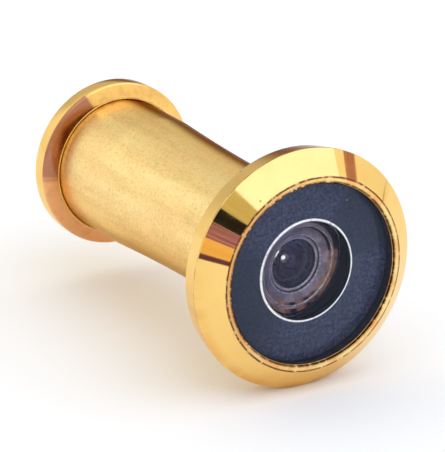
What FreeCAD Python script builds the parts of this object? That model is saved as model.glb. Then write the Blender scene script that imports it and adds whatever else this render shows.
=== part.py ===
"""Door viewer with a 14 mm barrel, in millimetres.

The optical axis is the Y axis. The wide outer bezel faces -Y, and the eyepiece end faces +Y.
The origin is on the axis, in the plane of the bezel's back face, which seats on the outside of the door.
Every piece is turned about the axis. Its outline is drawn as (radius, depth) corners, where depth is
measured towards +Y from the piece's own front plane, and its Placement puts that plane in the viewer.
"""

import FreeCAD
import Part
import Sketcher
import math
import os
from types import SimpleNamespace

# Driving dimensions. Depths whose names end in _at are measured from the front of the bezel's lip.
DIMENSIONS = [
    # The bezel and the housing behind it
    ("rim_radius", 12.0, "widest radius of the bezel"),
    ("rim_at", 2.1, "where the front bevel ends"),
    ("rim_land", 0.15, "width of the narrow band at the widest radius"),
    ("lip_radius", 9.15, "inner radius of the lip that holds the glass"),
    ("lip_width", 0.5, "flat front of the lip"),
    ("lip_height", 0.3, "how far the lip stands in front of the glass"),
    ("lip_break", 0.1, "small bevel between the lip and the bezel's bevel"),
    ("flange_back_radius", 11.6, "radius of the bezel's side at its back"),
    ("flange_thickness", 4.6, "lip to the face that seats on the door"),
    ("flange_round", 0.4, "round at the back edge of the bezel"),
    ("glass_pocket_radius", 9.3, "pocket that the front lens lies in"),
    ("glass_seat_at", 2.6, "floor of that pocket"),
    ("cell_pocket_radius", 5.7, "pocket for the head of the lens cell"),
    ("cell_pocket_at", 6.0, "floor of that pocket"),
    ("collar_radius", 6.85, "plain collar behind the bezel"),
    ("collar_end_at", 8.4, "face of the collar that the sleeve closes on"),
    ("collar_chamfer", 0.2, "chamfer at the collar's end"),
    ("tube_bore_radius", 4.3, "bore of the threaded tube"),
    ("tube_end_at", 33.5, "rear end of the threaded tube"),
    ("relief_radius", 4.9, "undercut between the collar and the thread"),
    ("relief_width", 1.2, "width of that undercut"),
    # The adjusting thread
    ("thread_pitch", 1.0, "one turn moves the sleeve this far"),
    ("male_crest_radius", 5.5, "outside of the male thread"),
    ("male_root_radius", 4.95, "bottom of the male thread"),
    ("thread_clearance", 0.1, "gap between the crest of one thread and the root of the other"),
    ("groove_mouth", 0.875, "width of a thread groove where it is widest"),
    ("groove_floor", 0.24, "width of a thread groove at its bottom"),
    ("female_length", 9.0, "length of the female thread"),
    # The lenses and what holds them in the housing
    ("fit_gap", 0.05, "gap around a piece that drops into a bore"),
    ("front_lens_edge", 2.0, "thickness of the front lens at its rim"),
    ("front_lens_bevel", 0.25, "ground bevel round its front edge"),
    ("hollow_radius", 5.1, "rim of the hollow in its back"),
    ("hollow_depth", 1.5, "depth of that hollow"),
    ("gasket_thickness", 0.3, "black ring behind the front lens"),
    ("cell_wall", 0.9, "wall of the lens cell round the small lenses"),
    ("funnel_mouth_radius", 5.0, "widest radius of the stepped funnel"),
    ("funnel_ledge_radius", 4.5, "second wall of the funnel, inside its narrow first ledge"),
    ("funnel_ring_radius", 3.5, "third wall, at the foot of the sloping face"),
    ("funnel_eye_radius", 3.1, "hole at the bottom of the funnel"),
    ("funnel_ledge_at", 0.5, "depth of the first ledge"),
    ("funnel_slope_from", 1.05, "depth where the sloping face starts"),
    ("funnel_slope_to", 1.7, "depth where it ends"),
    ("funnel_depth", 2.1, "depth of the ledge round the hole"),
    ("funnel_taper", 0.1, "how much each wall narrows towards its foot"),
    ("eye_wall", 0.4, "thickness of the funnel's bottom"),
    ("cell_length", 11.4, "whole length of the lens cell"),
    ("small_lens_edge", 1.6, "thickness of the small lenses at the rim"),
    ("small_hollow_radius", 2.4, "rim of the hollows in the small lenses"),
    ("second_hollow_depth", 0.9, "hollow in the back of the second lens"),
    ("third_hollow_depth", 0.45, "each of the two hollows in the third lens"),
    ("spacer_length", 2.0, "length of both spacer rings"),
    ("spacer_wall", 0.6, "wall of both spacer rings"),
    ("stop_thickness", 0.3, "thickness of the field stop"),
    ("stop_hole_radius", 1.8, "hole in the field stop"),
    ("cell_ring_thickness", 1.2, "ring that closes the lens cell"),
    ("cell_ring_hole_radius", 2.3, "hole in that ring"),
    ("cell_ring_slot_width", 0.8, "spanner slots in that ring"),
    ("cell_ring_slot_depth", 0.5, "depth of those slots"),
    ("glare_tube_wall", 0.4, "wall of the blackened tube"),
    ("glare_tube_inset", 0.1, "how far it stops short of the threaded tube's end"),
    # The rear sleeve and the eyepiece
    ("seam", 0.1, "gap between the collar and the closed sleeve"),
    ("sleeve_front_radius", 6.5, "outside of the sleeve at its front end"),
    ("sleeve_radius", 7.0, "outside of the sleeve at its rear, for a 14 mm hole"),
    ("sleeve_front_chamfer", 0.25, "chamfer at the sleeve's front end"),
    ("waist_end_at", 31.0, "where the waisted part of the sleeve ends"),
    ("waist_arc", 300.0, "radius of the long arc that makes the waist"),
    ("sleeve_bore_radius", 5.75, "clearance bore behind the female thread"),
    ("rear_flange_radius", 8.65, "radius of the rear flange"),
    ("rear_flange_at", 38.3, "face of the rear flange that seats on the door"),
    ("rear_flange_fillet", 0.3, "fillet between the sleeve and the rear flange"),
    ("rear_flange_round", 0.3, "rounds on the edges of the rear flange"),
    ("rear_end_at", 40.3, "rear face of the viewer"),
    ("eye_hole_radius", 3.8, "hole that the eye looks into"),
    ("eye_hole_bevel", 0.9, "bevel round that hole"),
    ("eyepiece_pocket_radius", 4.9, "bore that the eyepiece lens lies in"),
    ("eyepiece_pocket_at", 34.8, "front end of that bore"),
    ("eye_shoulder_at", 38.8, "shoulder that the eyepiece parts rest on"),
    ("coin_slot_width", 1.8, "width of the two coin slots"),
    ("coin_slot_depth", 1.2, "depth of the coin slots"),
    ("coin_slot_inset", 0.6, "brass left between a coin slot and the eye hole's bevel"),
    ("coin_slot_rim", 1.0, "brass left between a coin slot and the flange's edge"),
    ("eyepiece_lens_radius", 4.8, "radius of the eyepiece lens"),
    ("eyepiece_lens_edge", 1.2, "its thickness at the rim"),
    ("eyepiece_dome_radius", 4.2, "rim of both of its domes"),
    ("eyepiece_front_dome", 0.9, "height of its front dome"),
    ("eyepiece_rear_dome", 0.45, "height of its rear dome"),
    ("washer_thickness", 0.3, "washer between the eyepiece lens and the shoulder"),
    ("ring_hole_radius", 4.25, "hole in that washer and in the eyepiece ring"),
    ("eyepiece_ring_thickness", 1.1, "split ring that keeps the eyepiece lens in"),
    ("eyepiece_ring_split", 1.4, "opening of that split ring"),
]

LEFT = 1.0
RIGHT = -1.0
DOME = "dome"
FLANK_DEGREES = 30.0
SLOT_MARGIN = 0.5


class Length:
    """A length in millimetres that remembers the spreadsheet formula it comes from."""

    def __init__(self, value, formula):
        self.value = value
        self.formula = formula

    def __add__(self, other):
        other = as_length(other)
        return Length(self.value + other.value, f"({self.formula} + {other.formula})")

    def __sub__(self, other):
        other = as_length(other)
        return Length(self.value - other.value, f"({self.formula} - {other.formula})")

    def __mul__(self, factor):
        return Length(self.value * factor, f"({self.formula} * {factor})")


def as_length(number):
    """A Length as it is, or a plain number as a Length."""
    if isinstance(number, Length):
        return number
    return Length(number, str(number))


def fill_sheet(document):
    """Write the driving dimensions into the spreadsheet and return them as named lengths."""
    sheet = document.addObject("Spreadsheet::Sheet", "Sizes")
    for row, (alias, value, meaning) in enumerate(DIMENSIONS, start=1):
        sheet.set(f"A{row}", alias)
        sheet.set(f"B{row}", str(value))
        sheet.setAlias(f"B{row}", alias)
        sheet.set(f"C{row}", meaning)
    document.recompute()
    return SimpleNamespace(**{alias: Length(value, f"Sizes.{alias}") for alias, value, _ in DIMENSIONS})


document = FreeCAD.newDocument("door_viewer")
size = fill_sheet(document)
ZERO = Length(0.0, "0")


# Drawing and turning


def arc_between(start, end, centre, counterclockwise):
    """The arc from start to end about centre, for a sketch."""
    radius = math.dist(start, centre)
    circle = Part.Circle(FreeCAD.Vector(*centre, 0), FreeCAD.Vector(0, 0, 1), radius)
    first, last = (start, end) if counterclockwise else (end, start)
    angles = [math.atan2(y - centre[1], x - centre[0]) for x, y in (first, last)]
    return Part.ArcOfCircle(circle, angles[0], angles[1])


def arc_centre(start, end, side, radius):
    """The centre of an arc of this radius, on the given side of the way from start to end."""
    chord = math.dist(start, end)
    reach = math.sqrt(radius**2 - (chord / 2) ** 2)
    across = (-(end[1] - start[1]) / chord, (end[0] - start[0]) / chord)
    return (
        (start[0] + end[0]) / 2 + side * reach * across[0],
        (start[1] + end[1]) / 2 + side * reach * across[1],
    )


def dome_centre(start, end):
    """The centre on the axis of the arc that joins two corners."""
    middle = (end[0] ** 2 + end[1] ** 2 - start[0] ** 2 - start[1] ** 2) / (2 * (end[1] - start[1]))
    return (0.0, middle)


def stretch(start, end, arc):
    """The line or arc from start to end, and the sketch's numbers for its two ends in that order."""
    if not arc:
        return Part.LineSegment(FreeCAD.Vector(*start, 0), FreeCAD.Vector(*end, 0)), (1, 2)
    if arc[0] == DOME:
        centre = dome_centre(start, end)
    else:
        centre = arc_centre(start, end, arc[0], arc[1].value)
    turn = (start[0] - centre[0]) * (end[1] - centre[1]) - (start[1] - centre[1]) * (end[0] - centre[0])
    ends = (1, 2) if turn > 0 else (2, 1)
    return arc_between(start, end, centre, turn > 0), ends


def fix_length(sketch, kind, entity, end, length, name):
    """Hold one coordinate of a stretch's end at a spreadsheet length."""
    if length is ZERO:
        axis = -2 if kind == "DistanceX" else -1
        sketch.addConstraint(Sketcher.Constraint("PointOnObject", entity, end, axis))
        return
    index = sketch.addConstraint(Sketcher.Constraint(kind, -1, 1, entity, end, length.value))
    sketch.renameConstraint(index, name)
    sketch.setExpression(f"Constraints.{name}", length.formula)


def draw_outline(body, name, corners):
    """Draw a closed outline in the body's XY plane, its corners given as (radius, depth).

    A corner (radius, depth, side, arc_radius) is reached by an arc with its centre on that side of the
    way to it, and a corner (radius, depth, DOME) by an arc whose centre is on the axis.
    """
    plane = next(entry for entry in body.Origin.OriginFeatures if entry.Role == "XY_Plane")
    sketch = body.newObject("Sketcher::SketchObject", name)
    sketch.AttachmentSupport = [(plane, "")]
    sketch.MapMode = "FlatFace"
    places = [(radius.value, depth.value) for radius, depth, *_ in corners]
    ends = []
    for index, start in enumerate(places):
        following = (index + 1) % len(corners)
        geometry, end_numbers = stretch(start, places[following], corners[following][2:])
        sketch.addGeometry(geometry)
        ends.append(end_numbers)
    for index, (radius, depth, *arc) in enumerate(corners):
        before = (index - 1) % len(corners)
        joint = Sketcher.Constraint("Coincident", before, ends[before][1], index, ends[index][0])
        sketch.addConstraint(joint)
        fix_length(sketch, "DistanceX", index, ends[index][0], radius, f"radius_{index}")
        fix_length(sketch, "DistanceY", index, ends[index][0], depth, f"depth_{index}")
        if arc and arc[0] == DOME:
            sketch.addConstraint(Sketcher.Constraint("PointOnObject", before, 3, -2))
        elif arc:
            bend = sketch.addConstraint(Sketcher.Constraint("Radius", before, arc[1].value))
            sketch.renameConstraint(bend, f"arc_{index}")
            sketch.setExpression(f"Constraints.arc_{index}", arc[1].formula)
    return sketch


def turned_piece(name, front_at, corners):
    """A body turned from its outline, with its own front plane front_at behind the lip's front."""
    body = document.addObject("PartDesign::Body", name)
    body.Label = name
    body.setExpression("Placement.Base.y", (front_at - size.flange_thickness).formula)
    outline = draw_outline(body, f"{name}_outline", corners)
    turn = body.newObject("PartDesign::Revolution", f"{name}_turned")
    turn.Profile = outline
    turn.ReferenceAxis = (outline, ["V_Axis"])
    turn.Angle = 360
    outline.Visibility = False
    document.recompute()
    return body


def cut_thread(body, name, length, corners):
    """Cut a right-hand helical groove with this section, which goes on for length along the axis."""
    section = draw_outline(body, f"{name}_section", corners)
    helix = body.newObject("PartDesign::SubtractiveHelix", name)
    helix.Profile = section
    helix.ReferenceAxis = (section, ["V_Axis"])
    helix.Mode = "pitch-height-angle"
    helix.setExpression("Pitch", size.thread_pitch.formula)
    helix.setExpression("Height", length.formula)
    document.recompute()


def cut_slots(body, name, corners, width, count):
    """Cut slots of this width, with the given outline in the radial plane, spaced evenly round the axis."""
    outline = draw_outline(body, f"{name}_outline", corners)
    pocket = body.newObject("PartDesign::Pocket", name)
    pocket.Profile = outline
    pocket.SideType = "Symmetric"
    pocket.setExpression("Length", width.formula)
    if count > 1:
        pattern = body.newObject("PartDesign::PolarPattern", f"{name}_round")
        pattern.Originals = [pocket]
        pattern.Axis = (outline, ["V_Axis"])
        pattern.Angle = 360
        pattern.Occurrences = count
        body.Tip = pattern
    document.recompute()


def ring_outline(inner, outer, thickness):
    """The outline of a plain ring or tube."""
    return [(inner, ZERO), (outer, ZERO), (outer, thickness), (inner, thickness)]


# The outer half: housing, lenses and what holds them


def front_housing():
    """Bezel, collar and threaded tube, turned from one brass bar, with the male thread."""
    lip_edge = size.lip_radius + size.lip_width
    lens_bevel_end = size.lip_height + size.front_lens_bevel
    relief_end = size.collar_end_at + size.relief_width
    thread_rise = size.male_crest_radius - size.relief_radius
    corners = [
        (size.lip_radius, ZERO),
        (lip_edge, ZERO),
        (lip_edge + size.lip_break, size.lip_break * 0.5),
        (size.rim_radius, size.rim_at),
        (size.rim_radius, size.rim_at + size.rim_land),
        (size.flange_back_radius, size.flange_thickness - size.flange_round),
        (
            size.flange_back_radius - size.flange_round,
            size.flange_thickness,
            LEFT,
            size.flange_round,
        ),
        (size.collar_radius, size.flange_thickness),
        (size.collar_radius, size.collar_end_at - size.collar_chamfer),
        (size.collar_radius - size.collar_chamfer, size.collar_end_at),
        (size.relief_radius, size.collar_end_at),
        (size.relief_radius, relief_end),
        (size.male_crest_radius, relief_end + thread_rise),
        (size.male_crest_radius, size.tube_end_at - thread_rise),
        (size.relief_radius, size.tube_end_at),
        (size.tube_bore_radius, size.tube_end_at),
        (size.tube_bore_radius, size.cell_pocket_at),
        (size.cell_pocket_radius, size.cell_pocket_at),
        (size.cell_pocket_radius, size.glass_seat_at),
        (size.glass_pocket_radius, size.glass_seat_at),
        (size.glass_pocket_radius, lens_bevel_end),
        (size.glass_pocket_radius - size.front_lens_bevel, size.lip_height),
        (size.lip_radius, size.lip_height),
    ]
    body = turned_piece("front_housing", ZERO, corners)
    first_groove = size.collar_end_at + size.relief_width * 0.5
    length = size.tube_end_at + size.thread_pitch * 0.5 - first_groove
    mouth_radius = size.male_crest_radius + size.thread_clearance
    mouth = half_mouth(size.thread_clearance)
    floor = size.groove_floor * 0.5
    groove = [
        (size.male_root_radius, first_groove - floor),
        (mouth_radius, first_groove - mouth),
        (mouth_radius, first_groove + mouth),
        (size.male_root_radius, first_groove + floor),
    ]
    cut_thread(body, "male_thread", length, groove)


def half_mouth(overshoot):
    """Half the width of a thread groove, this far out past its widest place, in line with its flanks."""
    flank_slope = math.tan(math.radians(FLANK_DEGREES))
    return size.groove_mouth * 0.5 + overshoot * flank_slope


def front_lens():
    """Flat-faced outer glass with a hollow ground in its back."""
    radius = size.glass_pocket_radius - size.fit_gap
    corners = [
        (ZERO, ZERO),
        (radius - size.front_lens_bevel, ZERO),
        (radius, size.front_lens_bevel),
        (radius, size.front_lens_edge),
        (size.hollow_radius, size.front_lens_edge),
        (ZERO, size.front_lens_edge - size.hollow_depth, DOME),
    ]
    turned_piece("front_lens", size.lip_height, corners)


def front_gasket():
    """Black ring that the front lens beds on. It also hides the metal behind the glass."""
    outer = size.glass_pocket_radius - size.fit_gap * 2
    corners = ring_outline(size.hollow_radius, outer, size.gasket_thickness)
    turned_piece("front_gasket", size.glass_seat_at - size.gasket_thickness, corners)


def lens_cell():
    """Black cup with a stepped funnel in front and the seats of the small lenses behind."""
    head = size.cell_pocket_radius - size.fit_gap
    outer = size.tube_bore_radius - size.fit_gap
    head_end = size.cell_pocket_at - size.glass_seat_at
    seat = size.funnel_depth + size.eye_wall
    corners = [
        (size.funnel_mouth_radius, ZERO),
        (size.funnel_mouth_radius - size.funnel_taper, size.funnel_ledge_at),
        (size.funnel_ledge_radius, size.funnel_ledge_at),
        (size.funnel_ledge_radius - size.funnel_taper, size.funnel_slope_from),
        (size.funnel_ring_radius, size.funnel_slope_to),
        (size.funnel_ring_radius - size.funnel_taper, size.funnel_depth),
        (size.funnel_eye_radius, size.funnel_depth),
        (size.funnel_eye_radius, seat),
        (outer - size.cell_wall, seat),
        (outer - size.cell_wall, size.cell_length),
        (outer, size.cell_length),
        (outer, head_end),
        (head, head_end),
        (head, ZERO),
    ]
    turned_piece("lens_cell", size.glass_seat_at, corners)


def small_lens(name, front_at, front_hollow, rear_hollow):
    """One of the two small lenses, hollow on its rear face, and on its front face where that is given."""
    radius = size.tube_bore_radius - size.cell_wall - size.fit_gap * 2
    rim = size.small_hollow_radius
    edge = size.small_lens_edge
    front = [(ZERO, front_hollow), (rim, ZERO, DOME)] if front_hollow else [(ZERO, ZERO)]
    corners = front + [
        (radius, ZERO),
        (radius, edge),
        (rim, edge),
        (ZERO, edge - rear_hollow, DOME),
    ]
    turned_piece(name, front_at, corners)


def cell_stack():
    """The pieces that lie in the lens cell, one behind the other, and the ring that closes it."""
    radius = size.tube_bore_radius - size.cell_wall - size.fit_gap * 2
    spacer = ring_outline(radius - size.spacer_wall, radius, size.spacer_length)
    depth = size.glass_seat_at + size.funnel_depth + size.eye_wall
    small_lens("second_lens", depth, None, size.second_hollow_depth)
    depth = depth + size.small_lens_edge
    turned_piece("front_spacer", depth, spacer)
    depth = depth + size.spacer_length
    small_lens("third_lens", depth, size.third_hollow_depth, size.third_hollow_depth)
    depth = depth + size.small_lens_edge
    turned_piece("rear_spacer", depth, spacer)
    depth = depth + size.spacer_length
    turned_piece("field_stop", depth, ring_outline(size.stop_hole_radius, radius, size.stop_thickness))
    depth = depth + size.stop_thickness
    ring = ring_outline(size.cell_ring_hole_radius, radius, size.cell_ring_thickness)
    body = turned_piece("cell_ring", depth, ring)
    slot_floor = size.cell_ring_thickness - size.cell_ring_slot_depth
    slot = [
        (size.cell_ring_hole_radius - SLOT_MARGIN, slot_floor),
        (radius + SLOT_MARGIN, slot_floor),
        (radius + SLOT_MARGIN, size.cell_ring_thickness + SLOT_MARGIN),
        (size.cell_ring_hole_radius - SLOT_MARGIN, size.cell_ring_thickness + SLOT_MARGIN),
    ]
    cut_slots(body, "spanner_slot", slot, size.cell_ring_slot_width, 2)


def glare_tube():
    """Blackened tube that lines the threaded tube behind the lens cell."""
    front = size.glass_seat_at + size.cell_length
    outer = size.tube_bore_radius - size.fit_gap
    length = size.tube_end_at - size.glare_tube_inset - front
    turned_piece("glare_tube", front, ring_outline(outer - size.glare_tube_wall, outer, length))


# The inner half: sleeve and eyepiece


def rear_sleeve():
    """Barrel and rear flange, turned from one brass bar, with the female thread and the coin slots."""
    front = size.collar_end_at + size.seam
    end = size.rear_end_at - front
    flange = size.rear_flange_at - front
    minor = size.male_root_radius + size.thread_clearance
    major = size.male_crest_radius + size.thread_clearance
    lead_in = size.sleeve_bore_radius - minor
    thread_end = size.female_length
    pocket = size.eyepiece_pocket_at - front
    shoulder = size.eye_shoulder_at - front
    fillet = size.rear_flange_fillet
    edge = size.rear_flange_round
    eye_rim = size.eye_hole_radius + size.eye_hole_bevel
    corners = [
        (size.sleeve_bore_radius, ZERO),
        (size.sleeve_front_radius - size.sleeve_front_chamfer, ZERO),
        (size.sleeve_front_radius, size.sleeve_front_chamfer),
        (size.sleeve_radius, size.waist_end_at - front, RIGHT, size.waist_arc),
        (size.sleeve_radius, flange - fillet),
        (size.sleeve_radius + fillet, flange, RIGHT, fillet),
        (size.rear_flange_radius - edge, flange),
        (size.rear_flange_radius, flange + edge, LEFT, edge),
        (size.rear_flange_radius, end - edge),
        (size.rear_flange_radius - edge, end, LEFT, edge),
        (eye_rim, end),
        (size.eye_hole_radius, end - size.eye_hole_bevel),
        (size.eye_hole_radius, shoulder),
        (size.eyepiece_pocket_radius, shoulder),
        (size.eyepiece_pocket_radius, pocket),
        (size.sleeve_bore_radius, pocket),
        (size.sleeve_bore_radius, thread_end + lead_in),
        (minor, thread_end),
        (minor, lead_in),
    ]
    body = turned_piece("rear_sleeve", front, corners)
    # The male groove starts half a relief width behind the collar, so this one starts a pitch and a half before it.
    first_groove = size.relief_width * 0.5 - size.seam - size.thread_pitch * 1.5
    length = size.female_length + size.thread_pitch * 2.0
    mouth = half_mouth(size.thread_clearance)
    mouth_radius = minor - size.thread_clearance
    floor = size.groove_floor * 0.5
    groove = [
        (mouth_radius, first_groove - mouth),
        (major, first_groove - floor),
        (major, first_groove + floor),
        (mouth_radius, first_groove + mouth),
    ]
    cut_thread(body, "female_thread", length, groove)
    slot_start = eye_rim + size.coin_slot_inset
    slot_end = size.rear_flange_radius - size.coin_slot_rim
    slot = [
        (slot_start, end - size.coin_slot_depth),
        (slot_end, end - size.coin_slot_depth),
        (slot_end, end + SLOT_MARGIN),
        (slot_start, end + SLOT_MARGIN),
    ]
    cut_slots(body, "coin_slot", slot, size.coin_slot_width, 2)


def eyepiece():
    """Washer, lens and split ring, lying in the rear of the sleeve."""
    outer = size.eyepiece_pocket_radius - size.fit_gap
    washer_at = size.eye_shoulder_at - size.washer_thickness
    turned_piece("eyepiece_washer", washer_at, ring_outline(size.ring_hole_radius, outer, size.washer_thickness))
    # The lens keeps a fit gap from the washer behind it and from the ring in front of it.
    dome = size.eyepiece_dome_radius
    front = size.eyepiece_front_dome
    back = front + size.eyepiece_lens_edge
    lens_at = washer_at - size.fit_gap - back
    corners = [
        (ZERO, ZERO),
        (dome, front, DOME),
        (size.eyepiece_lens_radius, front),
        (size.eyepiece_lens_radius, back),
        (dome, back),
        (ZERO, back + size.eyepiece_rear_dome, DOME),
    ]
    turned_piece("eyepiece_lens", lens_at, corners)
    ring_at = lens_at + front - size.fit_gap - size.eyepiece_ring_thickness
    ring = ring_outline(size.ring_hole_radius, outer, size.eyepiece_ring_thickness)
    body = turned_piece("eyepiece_ring", ring_at, ring)
    split = [
        (size.ring_hole_radius - SLOT_MARGIN, ZERO - SLOT_MARGIN),
        (outer + SLOT_MARGIN, ZERO - SLOT_MARGIN),
        (outer + SLOT_MARGIN, size.eyepiece_ring_thickness + SLOT_MARGIN),
        (size.ring_hole_radius - SLOT_MARGIN, size.eyepiece_ring_thickness + SLOT_MARGIN),
    ]
    cut_slots(body, "ring_split", split, size.eyepiece_ring_split, 1)


def check_and_save():
    """Stop on any failed object or bad solid, then write one STEP file for each piece."""
    document.recompute()
    for entry in document.Objects:
        if "Invalid" in entry.State or "Error" in entry.State:
            raise RuntimeError(f"{entry.Name} did not compute: {entry.State}")
    pieces = [entry for entry in document.Objects if entry.TypeId == "PartDesign::Body"]
    for piece in pieces:
        shape = piece.Shape
        if shape.isNull() or not shape.isValid() or len(shape.Solids) != 1:
            raise RuntimeError(f"{piece.Label} is not one valid solid")
    os.makedirs("parts", exist_ok=True)
    for piece in pieces:
        piece.Shape.exportStep(f"parts/{piece.Label}.step")
        print(f"{piece.Label}: {piece.Shape.Volume:.2f} mm3")


front_housing()
front_lens()
front_gasket()
lens_cell()
cell_stack()
glare_tube()
rear_sleeve()
eyepiece()
check_and_save()
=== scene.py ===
"""The looks of the door viewer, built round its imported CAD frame, in metres.

The optical axis is the Y axis. The bezel and its glass face -Y, and the eyepiece end faces +Y.
Visible pieces are finished copies of the CAD nodes: the same shape, with every edge broken the
way a turned and polished piece has it, and with finer materials.
"""

import math

import bmesh
import bpy
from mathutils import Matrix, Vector


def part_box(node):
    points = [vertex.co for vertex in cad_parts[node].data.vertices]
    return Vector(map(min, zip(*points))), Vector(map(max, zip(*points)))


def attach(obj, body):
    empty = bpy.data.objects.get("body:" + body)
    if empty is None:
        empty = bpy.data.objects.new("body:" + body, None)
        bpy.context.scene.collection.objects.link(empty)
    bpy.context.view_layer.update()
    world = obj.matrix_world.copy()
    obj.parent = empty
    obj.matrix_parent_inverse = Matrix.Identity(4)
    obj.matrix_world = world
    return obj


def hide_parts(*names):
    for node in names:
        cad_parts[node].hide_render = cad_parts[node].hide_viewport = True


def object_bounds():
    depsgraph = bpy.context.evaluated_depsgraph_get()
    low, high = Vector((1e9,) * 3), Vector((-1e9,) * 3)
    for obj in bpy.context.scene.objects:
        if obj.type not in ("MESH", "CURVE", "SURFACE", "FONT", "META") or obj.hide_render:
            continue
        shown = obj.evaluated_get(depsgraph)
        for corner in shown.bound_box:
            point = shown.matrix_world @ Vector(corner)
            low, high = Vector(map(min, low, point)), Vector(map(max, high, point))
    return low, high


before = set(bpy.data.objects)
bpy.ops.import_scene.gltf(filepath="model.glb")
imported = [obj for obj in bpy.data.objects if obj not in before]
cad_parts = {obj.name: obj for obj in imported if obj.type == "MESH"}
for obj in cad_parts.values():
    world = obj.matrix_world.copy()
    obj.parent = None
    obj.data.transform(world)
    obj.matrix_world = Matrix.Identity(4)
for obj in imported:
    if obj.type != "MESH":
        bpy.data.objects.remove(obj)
cad_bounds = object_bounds()

MM = 0.001

# The places of the lip's front and the sleeve's front on the optical axis, read from the frame
BEZEL_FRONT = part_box("front_housing")[0].y
SLEEVE_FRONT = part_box("rear_sleeve")[0].y

# Sizes in millimetres that the shapes and the finishes share. Radii are off the optical axis.
LIP_INNER = 9.15
LIP_OUTER = 9.65
RIM = 12.0
BARREL = 7.0
# Depths behind the lip's front
RIM_FRONT = 2.1
RIM_BACK = 2.25
COLLAR_END = 8.4
RELIEF_END = 9.6
TUBE_END = 33.5
# The depth of the rear flange behind the sleeve's front
FLANGE_START = 29.8

# The camera: angles in degrees, lengths in metres, and the lens in millimetres
CAMERA_AZIMUTH = -30.8
CAMERA_ELEVATION = 19.8
CAMERA_DISTANCE = 0.3525
CAMERA_LENS = 282.0
CAMERA_AIM_SIDEWAYS = 0.0016
CAMERA_AIM_UPWARD = -0.0012


# ---------------------------------------------------------------------------------------------
# Node helpers
# ---------------------------------------------------------------------------------------------


class Graph:
    """A material's or world's node tree, with short calls for the nodes used here."""

    def __init__(self, tree):
        self.tree = tree
        self.tree.nodes.clear()

    def add(self, kind, **settings):
        """A new node of this kind, with these settings."""
        node = self.tree.nodes.new(kind)
        for name, value in settings.items():
            setattr(node, name, value)
        return node

    def put(self, socket, value):
        """Link an output to the socket, or set it to a plain value."""
        if isinstance(value, bpy.types.NodeSocket):
            self.tree.links.new(value, socket)
        else:
            socket.default_value = value

    def put_all(self, node, values):
        """Fill the node's first inputs with these values, in their order."""
        for socket, value in zip(node.inputs, values):
            self.put(socket, value)

    def math(self, operation, *values):
        """The result of a Math node."""
        node = self.add("ShaderNodeMath", operation=operation)
        self.put_all(node, values)
        return node.outputs[0]

    def vector(self, operation, *values):
        """The result of a Vector Math node."""
        node = self.add("ShaderNodeVectorMath", operation=operation)
        self.put_all(node, values)
        return node.outputs["Value" if operation == "DOT_PRODUCT" else "Vector"]

    def mix(self, factor, first, second):
        """The first colour where the factor is 0, and the second where it is 1."""
        node = self.add("ShaderNodeMix", data_type="RGBA")
        # The colour sockets of this node are inputs 6 and 7 and output 2
        self.put(node.inputs[0], factor)
        self.put(node.inputs[6], first)
        self.put(node.inputs[7], second)
        return node.outputs[2]

    def ramp(self, value, low, high, low_to=0.0, high_to=1.0):
        """Go smoothly from low_to to high_to as the value goes from low to high, level beyond both."""
        node = self.add("ShaderNodeMapRange", interpolation_type="SMOOTHSTEP")
        self.put_all(node, (value, low, high, low_to, high_to))
        return node.outputs[0]

    def noise(self, vector, scale, detail=3.0, roughness=0.5):
        """Smooth noise, mostly between 0.3 and 0.7, with about this many features per unit of the vector."""
        node = self.add("ShaderNodeTexNoise")
        self.put(node.inputs["Vector"], vector)
        self.put(node.inputs["Scale"], scale)
        self.put(node.inputs["Detail"], detail)
        self.put(node.inputs["Roughness"], roughness)
        return node.outputs[0]

    def join(self, x, y, z):
        """A vector from its three components."""
        node = self.add("ShaderNodeCombineXYZ")
        self.put_all(node, (x, y, z))
        return node.outputs[0]

    def stretch(self, vector, x, y, z):
        """The vector scaled along each axis: a pattern on it is drawn out where the scale is small."""
        return self.vector("MULTIPLY", vector, (x, y, z))

    def toward(self, around, x, z):
        """How far a direction round the axis points this way: 1 along it, -1 against it."""
        return self.vector("DOT_PRODUCT", around, (x, z, 0.0))

    def specks(self, vector, scale, size, share):
        """1 inside small round spots, 0 elsewhere.

        Scale is in cells per metre, size is a spot's radius in cells, and this share of cells has one.
        """
        node = self.add("ShaderNodeTexVoronoi")
        self.put(node.inputs["Vector"], vector)
        self.put(node.inputs["Scale"], scale)
        split = self.add("ShaderNodeSeparateColor")
        self.put(split.inputs[0], node.outputs["Color"])
        spot = self.ramp(node.outputs["Distance"], size * 0.5, size, 1.0, 0.0)
        return self.math("MULTIPLY", spot, self.math("GREATER_THAN", split.outputs[0], 1.0 - share))

    def between(self, value, low, high, soft):
        """1 where the value lies between two limits, with soft edges."""
        rising = self.ramp(value, low - soft, low + soft)
        falling = self.ramp(value, high - soft, high + soft, 1.0, 0.0)
        return self.math("MULTIPLY", rising, falling)

    def relief(self, height, metres):
        """A shading normal from a height between 0 and 1 that stands for this many metres."""
        node = self.add("ShaderNodeBump")
        self.put(node.inputs["Height"], height)
        self.put(node.inputs["Distance"], metres)
        self.put(node.inputs["Strength"], 1.0)
        return node.outputs[0]


def principled(graph, **inputs):
    """Put a Principled shader with these inputs on the material's output."""
    shader = graph.add("ShaderNodeBsdfPrincipled")
    for name, value in inputs.items():
        graph.put(shader.inputs[name.replace("_", " ").title().replace("Ior", "IOR")], value)
    output = graph.add("ShaderNodeOutputMaterial")
    graph.put(output.inputs["Surface"], shader.outputs[0])


def new_material(name):
    """A material without nodes, and the graph to fill."""
    material = bpy.data.materials.new(name)
    material.use_nodes = True
    return material, Graph(material.node_tree)


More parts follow.
